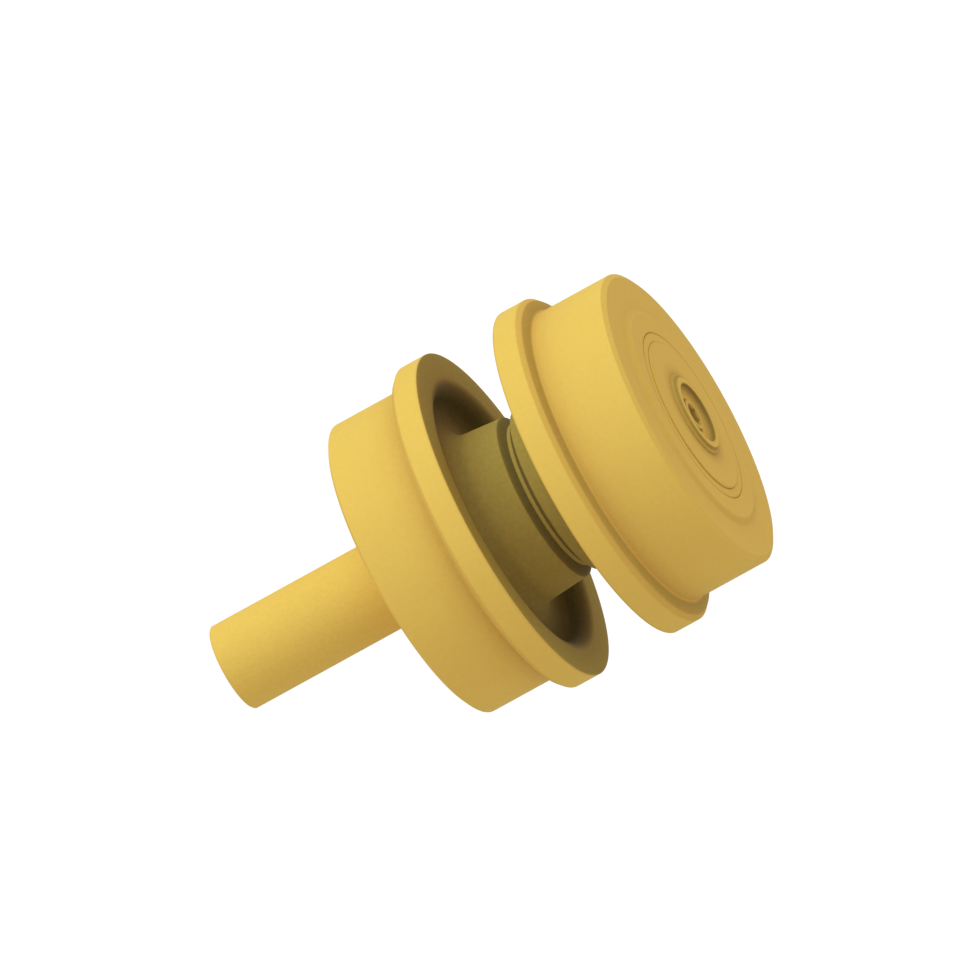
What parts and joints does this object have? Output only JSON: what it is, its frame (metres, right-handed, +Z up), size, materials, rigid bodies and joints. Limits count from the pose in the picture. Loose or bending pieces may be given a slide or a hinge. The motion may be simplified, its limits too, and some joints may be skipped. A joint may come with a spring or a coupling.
{
  "type": "track carrier roller",
  "caption": "Cantilever carrier roller for a crawler track: plain shaft out of one end, spool-shaped steel shell with two treads and two inner guide flanges, cover with fill plug.",
  "frame": {"origin": "centre of the seal collar's outer face, on the roller's axis, where the clamped length of the shaft begins", "axes": "+Y along the shaft towards the end cover, +Z up, so the shaft's free end points to -Y"},
  "size_m": [0.2476, 0.3728, 0.2476],
  "materials": {
    "yellow_paint": "satin yellow paint on machined and forged steel",
    "bearing_steel": "ground",
    "plain_steel": "as machined",
    "seal_iron": "lapped face",
    "seal_rubber": "matt",
    "washer_brass": "plain"
  },
  "bodies": {
    "shaft_group": {"shaft": "yellow_paint", "seal_collar": "yellow_paint", "collar_dowel": "plain_steel", "fixed_seal_ring": "seal_iron", "fixed_toric_ring": "seal_rubber", "shaft_side_cone": "bearing_steel", "cover_side_cone": "bearing_steel", "preload_shims": "plain_steel", "end_plate": "plain_steel", "lock_plate": "plain_steel", "end_plate_bolts": "plain_steel"},
    "roller_group": {"shell_shaft_side": "yellow_paint", "shell_cover_side": "yellow_paint", "centre_weld": "yellow_paint", "shaft_side_cup": "bearing_steel", "cover_side_cup": "bearing_steel", "turning_seal_ring": "seal_iron", "turning_toric_ring": "seal_rubber", "end_cover": "yellow_paint", "cover_o_ring": "seal_rubber", "retaining_ring": "yellow_paint", "fill_plug": "yellow_paint", "plug_washer": "washer_brass"},
    "shaft_side_cage_group": {"shaft_side_cage": "plain_steel", "shaft_side_rollers": "bearing_steel"},
    "cover_side_cage_group": {"cover_side_cage": "plain_steel", "cover_side_rollers": "bearing_steel"}
  },
  "joints": [
    {"name": "roller_spin", "type": "hinge", "parent": "shaft_group", "child": "roller_group", "pos_m": [0, 0.1185, 0], "axis": [0, 1, 0], "continuous": true},
    {"name": "shaft_side_cage_spin", "type": "hinge", "parent": "shaft_group", "child": "shaft_side_cage_group", "pos_m": [0, 0.054, 0], "axis": [0, 1, 0], "continuous": true},
    {"name": "cover_side_cage_spin", "type": "hinge", "parent": "shaft_group", "child": "cover_side_cage_group", "pos_m": [0, 0.183, 0], "axis": [0, 1, 0], "continuous": true}
  ],
  "couplings": [
    {"joint": "shaft_side_cage_spin", "follows": "roller_spin", "ratio": 0.5652},
    {"joint": "cover_side_cage_spin", "follows": "roller_spin", "ratio": 0.5652}
  ]
}
